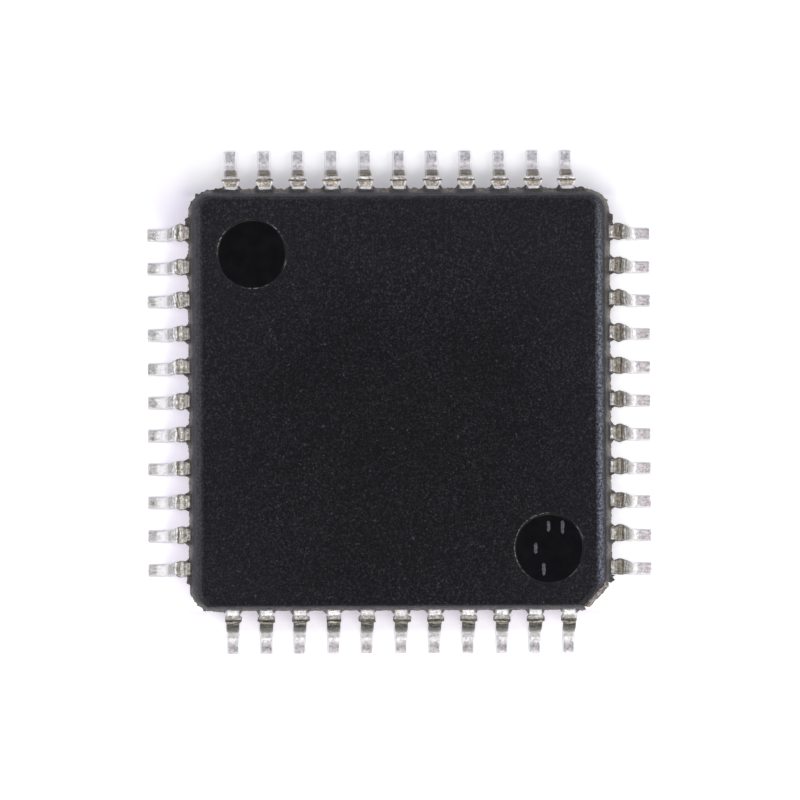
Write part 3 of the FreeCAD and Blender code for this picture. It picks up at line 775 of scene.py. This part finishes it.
def lead_path():
    """Stations along a lead's middle line from the body wall to its tip: distance along it, x, z, lean."""
    shoulder = [k * 0.024 for k in range(8)] + [0.19 + k * 0.01 for k in range(6)]
    stations = [(x, x, LEVEL, 0.0) for x in shoulder]
    turn = math.pi / 2 - TILT
    bend_length = BEND_RADIUS * turn
    s = SHOULDER
    centre_z = LEVEL - BEND_RADIUS
    for k in range(1, BEND_STEPS + 1):
        angle = turn * k / BEND_STEPS
        x, z = SHOULDER + BEND_RADIUS * math.sin(angle), centre_z + BEND_RADIUS * math.cos(angle)
        stations.append((s + bend_length * k / BEND_STEPS, x, z, angle))
    s, x1, z1, _ = stations[-1]
    low_centre_z = SHEET / 2 + HEEL_RADIUS
    shank = (z1 - low_centre_z + HEEL_RADIUS * math.cos(turn)) / math.cos(TILT)
    for k in range(1, 6):
        run = shank * k / 5
        stations.append((s + run, x1 + run * math.sin(TILT), z1 - run * math.cos(TILT), turn))
    s, x2, _, _ = stations[-1]
    low_centre_x = x2 + HEEL_RADIUS * math.sin(turn)
    for k in range(1, BEND_STEPS + 1):
        angle = turn * (1 - k / BEND_STEPS)
        x, z = low_centre_x - HEEL_RADIUS * math.sin(angle), low_centre_z - HEEL_RADIUS * math.cos(angle)
        stations.append((s + HEEL_RADIUS * turn * k / BEND_STEPS, x, z, angle))
    s = stations[-1][0]
    foot = SPAN - low_centre_x
    for k in range(1, 15):
        run = (foot - 0.03) * k / 14
        stations.append((s + run, low_centre_x + run, SHEET / 2, 0.0))
    return stations, s + foot


PATH, PATH_LENGTH = lead_path()
FOOT_START = next(s for s, _, _, lean in reversed(PATH) if lean > 0)


def flank(s, ear, ear_start, ear_peak, ear_end, taper, root, shank):
    """Half width of a lead on one flank, at a distance along it."""
    half = root + (ear - root) * unit((s - ear_start) / (ear_peak - ear_start))
    return half + (shank - half) * unit((s - ear_end) / taper)


# By row: height of the ridge at the root, how far out it falls to nothing, depth of the dambar line and
# its distance out; and of the ears their start, peak, end, run back to the shank, and half width.
ROW_FORMS = {
    "left": (0.010, 0.09, 0.012, 0.278, 0.0, 0.2, 0.215, 0.235, 0.196),
    "bottom": (0.024, 0.13, 0.014, 0.258, 0.125, 0.15, 0.262, 0.03, 0.198),
    "right": (0.010, 0.08, 0.010, 0.268, 0.06, 0.19, 0.24, 0.24, 0.203),
    "top": (0.014, 0.085, 0.015, 0.272, 0.06, 0.215, 0.272, 0.025, 0.215),
}


# Three tables by millimetres along a lead. The plating's colour with painted light and shade by row: painted
# highlights on the shoulder and where the bend begins, painted shade in the dambar crease and over the bend,
# and tinted on the foot.
TIN_LIGHT_AND_SHADE = {
    "left": (
        (0.0, (0.46, 0.44, 0.4)), (0.08, (0.56, 0.52, 0.46)), (0.14, (0.4, 0.38, 0.33)),
        (0.2, (0.86, 0.84, 0.78)), (0.275, (0.28, 0.27, 0.21)), (0.32, (0.92, 0.92, 0.89)),
        (0.345, (0.85, 0.85, 0.83)), (0.375, (0.66, 0.66, 0.64)), (0.405, (0.55, 0.55, 0.53)),
        (0.6, (0.56, 0.56, 0.54)), (0.78, (0.62, 0.62, 0.6)), (0.87, (0.9, 0.9, 0.87)),
        (1.27, (1.0, 1.0, 0.96)), (1.36, (0.6, 0.6, 0.57)), (1.5, (0.68, 0.68, 0.65)),
    ),
    "bottom": (
        (0.0, 1.0), (0.105, (0.98, 0.98, 0.97)), (0.13, (0.58, 0.57, 0.53)),
        (0.195, (0.56, 0.54, 0.49)), (0.24, (0.1, 0.09, 0.06)), (0.28, (0.36, 0.35, 0.3)),
        (0.325, (0.18, 0.18, 0.15)), (0.46, (0.13, 0.13, 0.11)), (0.56, (0.17, 0.17, 0.14)),
        (0.7, (0.44, 0.43, 0.39)), (0.8, (0.94, 0.93, 0.89)), (1.0, (0.92, 0.91, 0.88)),
        (1.07, (0.8, 0.79, 0.76)), (1.14, (0.8, 0.79, 0.76)), (1.22, (0.92, 0.91, 0.88)),
        (1.29, (0.66, 0.65, 0.64)), (1.35, (0.46, 0.45, 0.46)), (1.42, (0.56, 0.55, 0.56)),
        (1.5, (0.84, 0.78, 0.8)),
    ),
    "right": (
        (0.0, (0.64, 0.63, 0.6)), (0.06, (0.74, 0.72, 0.68)), (0.1, (0.5, 0.47, 0.41)),
        (0.155, (0.21, 0.19, 0.14)), (0.21, (0.36, 0.33, 0.27)), (0.268, (0.15, 0.13, 0.1)),
        (0.32, (0.3, 0.3, 0.27)), (0.44, (0.43, 0.43, 0.41)), (0.78, (0.66, 0.66, 0.64)),
        (0.92, (0.98, 0.97, 0.94)), (1.12, (0.86, 0.85, 0.83)), (1.28, (0.75, 0.72, 0.71)),
        (1.46, (0.65, 0.6, 0.62)), (1.51, 1.0),
    ),
    "top": (
        (0.0, (1.0, 1.0, 0.98)), (0.075, (1.0, 1.0, 0.97)), (0.1, (0.5, 0.45, 0.37)),
        (0.2, (0.76, 0.7, 0.6)), (0.258, (0.2, 0.17, 0.12)), (0.292, (1.0, 0.99, 0.95)),
        (0.325, (0.44, 0.41, 0.33)), (0.41, (0.22, 0.2, 0.15)), (0.77, (0.21, 0.19, 0.15)),
        (0.9, (0.46, 0.43, 0.38)), (0.98, (0.9, 0.88, 0.83)), (1.04, (1.0, 0.98, 0.95)),
        (1.2, (0.98, 0.97, 0.96)), (1.32, (0.6, 0.6, 0.62)), (1.44, (0.62, 0.63, 0.66)),
        (1.52, 1.0),
    ),
}
# Painted highlight along the long edges.
LEAD_EDGE_HIGHLIGHTS = {
    "left": ((0.0, 0.1), (0.28, 0.1), (0.36, 0.6), (0.8, 0.3), (1.0, 1.0)),
    "bottom": ((0.0, 0.8), (0.12, 0.6), (0.15, 0.0), (0.85, 0.0), (1.1, 1.0)),
    "right": ((0.0, 0.4), (0.08, 0.1), (0.3, 0.1), (0.9, 0.5), (1.1, 1.0)),
    "top": (
        (0.0, 1.0), (0.21, 1.0), (0.235, 0.0), (0.27, 0.0),
        (0.285, 0.6), (0.33, 0.3), (0.85, 0.2), (1.1, 1.0),
    ),
}
# Painted highlights on the middle.
LEAD_MIDDLE_HIGHLIGHTS = {
    "left": (
        (0.28, 0.0), (0.31, 0.2), (0.36, 0.1), (0.4, 0.0), (0.78, 0.0),
        (0.9, 0.8), (0.97, 1.0), (1.2, 1.0), (1.32, 0.0),
    ),
    "bottom": (
        (0.0, 0.4), (0.1, 0.4), (0.13, 0.0), (0.8, 0.0), (0.89, 0.6),
        (1.02, 0.5), (1.15, 0.35), (1.22, 0.0),
    ),
    "right": ((0.9, 0.0), (1.0, 0.3), (1.12, 0.3), (1.2, 0.0)),
    "top": (
        (0.0, 0.9), (0.08, 0.9), (0.1, 0.0), (0.275, 0.0), (0.292, 0.6), (0.31, 0.6),
        (0.325, 0.0), (0.92, 0.0), (0.99, 0.9), (1.08, 0.8), (1.16, 0.0),
    ),
}


def lead_mesh(number, row, index):
    """Points of a lead in its own frame, x out of the body, y across and z up, with its faces, the
    distance along it and the nearness to its long edges."""
    seed = number * 1.733

    def vary(k, amount):
        return amount * noise.noise(Vector((seed * 3.1, k * 7.7, seed)))

    ridge, ridge_length, groove, groove_at, ear_start, ear_peak, ear_end, taper, ear_half = ROW_FORMS[row]
    flanks = [
        {
            "ear": ear_half + vary(hand + 2, 0.06),
            "ear_start": ear_start + vary(hand + 5, 0.02),
            "ear_peak": ear_peak + vary(hand + 17, 0.02),
            "ear_end": ear_end + vary(hand + 8, 0.035),
            "taper": taper,
            "root": (0.145 if row == "top" else 0.16) + vary(hand + 11, 0.012),
            "shank": 0.155 + vary(hand + 14, 0.012),
        }
        for hand in (-1, 1)
    ]
    lean = vary(20, 0.03)
    arch = 0.024 + vary(23, 0.03)
    ridge *= 1 + vary(26, 0.8)
    groove *= 1 + vary(29, 0.8)

    def lift(s, across, share):
        """Height of the worked surface over the plain sheet."""
        bow = arch * (1 - share * share) * smooth(0.1, 0.24, s)
        at = s + bow + 0.006 * wobble(across * 14, seed, 3.3, 2)
        height = ridge * (1 - smooth(0.0, ridge_length, s))
        height -= groove * math.exp(-(((at - groove_at) / 0.016) ** 2))
        height += 0.35 * groove * math.exp(-(((at - groove_at - 0.035) / 0.016) ** 2))
        height += 0.0045 * wobble(s * 13 + seed, across * 15, seed, 3)
        foot = smooth(FOOT_START - 0.02, FOOT_START + 0.1, s)
        return height + 0.006 * foot * wobble(s * 5 + seed, across * 20, seed, 2)

    def section(x, z, angle, halves, middle, s, shrink=1.0):
        """One closed section, from the top face round to it again, and each point's nearness to an edge."""
        normal = (math.sin(angle), math.cos(angle))
        half_sheet = SHEET / 2 * shrink
        roll, drop, burr = EDGE_ROLL * shrink, EDGE_DROP * shrink, EDGE_BURR * shrink
        low, high = halves
        loop = []
        for k in range(TOP_COLUMNS):
            t = -1 + 2 * k / (TOP_COLUMNS - 1)
            loop.append((t * ((high if t > 0 else low) - roll), half_sheet))
        corner = []
        for k in range(1, CORNER_STEPS + 1):
            turn = math.pi / 2 * k / CORNER_STEPS
            corner.append((roll * (math.sin(turn) - 1), half_sheet + drop * (math.cos(turn) - 1)))
        for k in range(3):
            turn = math.pi / 4 * k
            corner.append((burr * (math.cos(turn) - 1), -half_sheet + burr * (1 - math.sin(turn))))
        loop += [(high + inset, up) for inset, up in corner]
        loop.append((0.0, -half_sheet))
        loop += [(-low - inset, up) for inset, up in reversed(corner)]
        made, rims = [], []
        for across, up in loop:
            half = high if across > 0 else low
            share = min(abs(across) / max(half, 0.01), 1.0)
            on_top = smooth(half_sheet - drop, half_sheet, up)
            push, spread = 0.0, 0.0
            if s is not None:
                push = lift(s, across, share) * on_top
                spread = 0.007 * wobble(s * 10 + seed * 2, math.copysign(3.0, across), seed, 3)
                rough = wobble(s * 45, math.copysign(5.0, across), seed, 3)
                spread += 0.022 * rough * (1 - smooth(0.26, 0.34, s))
                spread *= smooth(0.05, 0.12, s) * smooth(0.5, 0.9, share)
            side = middle + across + math.copysign(spread, across)
            made.append((x + normal[0] * (up + push), side, z + normal[1] * (up + push)))
            rims.append(share)
        return made, rims

    # The inner finger, from its bond to the wall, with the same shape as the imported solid.
    place = index - (LEADS - 1) / 2
    bond = (FINGER_RING - HALF, place * (FINGER_STEP - PITCH), 0.1)
    inner = (bond, (-0.45, 0.0, ROOT_HALF), (-0.02, 0.0, ROOT_HALF))
    sections = [(section(x, LEVEL, 0.0, (half, half), middle, None), 0.0) for x, middle, half in inner]
    for s, x, z, angle in PATH:
        halves = [flank(s, **shape) for shape in flanks]
        middle = lean * smooth(0.1, 1.3, s) * 0.5
        sections.append((section(x, z, angle, halves, middle, s), s))
    for step, trim in ((0.016, 0.003), (0.024, 0.009), (0.029, 0.02)):
        trimmed = [half - trim for half in halves]
        sections.append((section(x + step, z, 0.0, trimmed, middle, s + step, 1 - trim / 0.1), s + step))

    points, faces, along, rim = [], [], [], []
    for (made, rims), s in sections:
        points += made
        rim += rims
        along += [s / PATH_LENGTH] * len(made)
    size = len(sections[0][0][0])
    for k in range(len(sections) - 1):
        low, high = k * size, (k + 1) * size
        for j in range(size):
            after = (j + 1) % size
            faces.append((low + j, high + j, high + after, low + after))
    faces.append(tuple(range(size)))
    last = (len(sections) - 1) * size
    faces.append(tuple(last + j for j in range(size))[::-1])
    return points, faces, {"along": along, "rim": rim}


def make_leads():
    """All leads, counter-clockwise, so the first of a side lies clockwise of the others."""
    number = 0
    for row, turn in SIDES:
        material = tin_material(row)
        c, s = math.cos(math.radians(turn)), math.sin(math.radians(turn))
        for index in range(LEADS):
            number += 1
            points, faces, attributes = lead_mesh(number, row, index)
            offset = ((LEADS - 1) / 2 - index) * PITCH
            placed = []
            for x, y, z in points:
                out, across = x + HALF, y - offset
                placed.append((out * c - across * s, out * s + across * c, max(z, 0.0)))
            piece = make_piece(f"plated_lead_{number}", placed, faces, (material,), attributes=attributes)
            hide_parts(f"lead_{number}")


# Pieces

make_body()
make_ticks()
make_leads()

# The finish of the CAD nodes whose names start so.
INNER = {
    "die_paddle": ("copper_sheet", (0.55, 0.3, 0.2), (0.78, 0.47, 0.33), 1.0, (0.3, 0.5), 0.3),
    "die_attach": ("silver_paste", (0.36, 0.36, 0.35), (0.55, 0.55, 0.54), 0.6, (0.45, 0.7), 0.08),
    "silicon_die": ("silicon", (0.1, 0.11, 0.15), (0.2, 0.21, 0.27), 0.7, (0.08, 0.2), 0.15),
    "bond_wires": ("gold", (0.8, 0.52, 0.16), (0.92, 0.66, 0.26), 1.0, (0.15, 0.3), 0.02),
}
for start, finish in INNER.items():
    material = inner_material(*finish)
    for name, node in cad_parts.items():
        if name.startswith(start):
            node.data.materials.clear()
            node.data.materials.append(material)


# Floor, light and camera


# Glow taken from the floor beside each side of the body, a painted shadow, by share of SHADE_REACH out from
# it: the direction's sign and axis, and the stops.
SHADE_REACH = 1.6
SHADES = (
    (1, "X", ((0.0, (0.08, 0.09, 0.06)), (0.08, (0.03, 0.035, 0.02)), (0.15, 0.0))),
    (1, "Y", ((0.0, (0.14, 0.15, 0.12)), (0.1, (0.05, 0.055, 0.035)), (0.2, 0.0))),
    (-1, "X", ((0.0, (0.11, 0.14, 0.07)), (0.15, (0.1, 0.13, 0.06)), (0.42, (0.1, 0.12, 0.06)), (0.75, 0.0))),
    (-1, "Y", ((0.0, (0.22, 0.25, 0.19)), (0.06, (0.16, 0.19, 0.14)), (0.16, (0.08, 0.1, 0.06)), (0.6, 0.0))),
)
FLOOR_REACH = 3.0
FLOOR_LEVEL = -0.000002


def make_floor():
    """A white floor, a little brighter to the eye and in reflections than the light alone makes it, with less
    glow in a painted shadow towards the top side and close to the body.
    """
    material, tree, place = new_material("white_floor")
    rays = add(tree, "LightPath")
    seen = math_node(tree, "MAXIMUM", rays.outputs["Is Camera Ray"], rays.outputs["Is Glossy Ray"])
    seen = math_node(tree, "MAXIMUM", seen, rays.outputs["Is Transmission Ray"])
    axes = add(tree, "SeparateXYZ", {0: place}).outputs
    # Less glow towards the top side: a painted shadow where the body's shadow falls.
    glow = map_range(tree, axes["Y"], 3.7 * MM, 5.4 * MM, 0.52, 0.22)
    # Close to the body the glow falls off in a painted shadow, as the real shadow does.
    for sign, axis, stops in SHADES:
        out, across = axes[axis], axes["Y" if axis == "X" else "X"]
        far = map_range(tree, out, sign * HALF * MM, sign * (HALF + SHADE_REACH) * MM)
        clear = map_range(tree, out, sign * (HALF - 0.1) * MM, sign * HALF * MM)
        beside = map_range(tree, math_node(tree, "ABSOLUTE", across), 4.8 * MM, 5.4 * MM, 1.0, 0.0)
        inside = times(tree, beside, clear)
        lost = mix(tree, inside, (0, 0, 0, 1), ramp(tree, far, stops))
        glow = mix(tree, 1.0, glow, lost, "SUBTRACT")
    matte = add(tree, "BsdfDiffuse", {"Color": (0.86, 0.86, 0.87, 1)})
    light = add(tree, "Emission", {"Color": glow, "Strength": seen})
    both = add(tree, "AddShader", {0: matte.outputs[0], 1: light.outputs[0]})
    finish_material(tree, both)
    mesh = bpy.data.meshes.new("floor")
    square = ((-1, -1), (1, -1), (1, 1), (-1, 1))
    corners = [(x * FLOOR_REACH, y * FLOOR_REACH, FLOOR_LEVEL) for x, y in square]
    mesh.from_pydata(corners, [], [(0, 1, 2, 3)])
    mesh.materials.append(material)
    floor = new_object("floor", mesh)


# The room's colour by height: 0 at the horizon and below it, 1 straight up.
ROOM = (
    (0.0, (0.16, 0.155, 0.18)), (0.45, (0.24, 0.23, 0.28)), (0.78, (0.38, 0.36, 0.43)),
    (0.9, (0.66, 0.65, 0.7)), (0.965, (0.66, 0.65, 0.7)), (0.99, (0.32, 0.32, 0.35)),
)


def make_world():
    """Soft light from the room: brightest in a ring round the camera's place overhead."""
    world = bpy.data.worlds.new("room")
    bpy.context.scene.world = world
    world.use_nodes = True
    tree = world.node_tree
    tree.nodes.clear()
    place = add(tree, "TexCoord").outputs["Generated"]
    height = add(tree, "SeparateXYZ", {0: place}).outputs["Z"]
    colour = ramp(tree, height, ROOM)
    light = add(tree, "Background", {"Color": colour, "Strength": 1.0})
    add(tree, "OutputWorld", {"Surface": light.outputs[0]})


def softbox(name, azimuth, elevation, distance, width, height, radiance, tint=(1, 1, 1)):
    """A rectangular softbox that faces the part. Azimuth counts from +X, counter-clockwise."""
    a, e = math.radians(azimuth), math.radians(elevation)
    back = Vector((math.cos(a) * math.cos(e), math.sin(a) * math.cos(e), math.sin(e)))
    lamp = bpy.data.lights.new(name, "AREA")
    lamp.shape = "RECTANGLE"
    lamp.size = width * MM
    lamp.size_y = height * MM
    lamp.color = tint
    lamp.energy = radiance * math.pi * lamp.size * lamp.size_y
    holder = new_object(name, lamp)
    holder.location = back * distance * MM
    holder.rotation_mode = "QUATERNION"
    holder.rotation_quaternion = back.to_track_quat("Z", "Y")
    holder.visible_camera = False


def make_camera():
    """Nearly straight down, a little from the near side and the left."""
    field = 19.03
    lens = 500.0
    sensor = 36.0
    aim = Vector((0.0, 0.0, LEVEL)) * MM
    back = Vector((-math.sin(math.radians(1.0)), -math.sin(math.radians(3.6)), 1.0)).normalized()
    roll = math.radians(0.3)
    up_hint = Vector((math.sin(roll), math.cos(roll), 0.0))
    right = up_hint.cross(back).normalized()
    up = back.cross(right)
    camera = bpy.data.cameras.new("camera")
    camera.sensor_width = sensor
    camera.lens = lens
    camera.clip_start = 0.01
    camera.clip_end = 10.0
    holder = new_object("camera", camera)
    place = aim + back * (field * lens / sensor * MM)
    axes = Matrix((right, up, back)).transposed().to_4x4()
    holder.matrix_world = Matrix.Translation(place) @ axes
    bpy.context.scene.camera = holder


make_floor()
make_world()
softbox("key", -75, 62, 130, 80, 80, 2.6, (1.0, 0.99, 0.97))
softbox("right_box", 5, 30, 120, 100, 80, 2.8)
softbox("left_box", 178, 55, 120, 80, 60, 1.8)
softbox("low_left_box", 180, 24, 120, 110, 60, 1.1)
make_camera()
bpy.context.scene.view_settings.view_transform = "Standard"
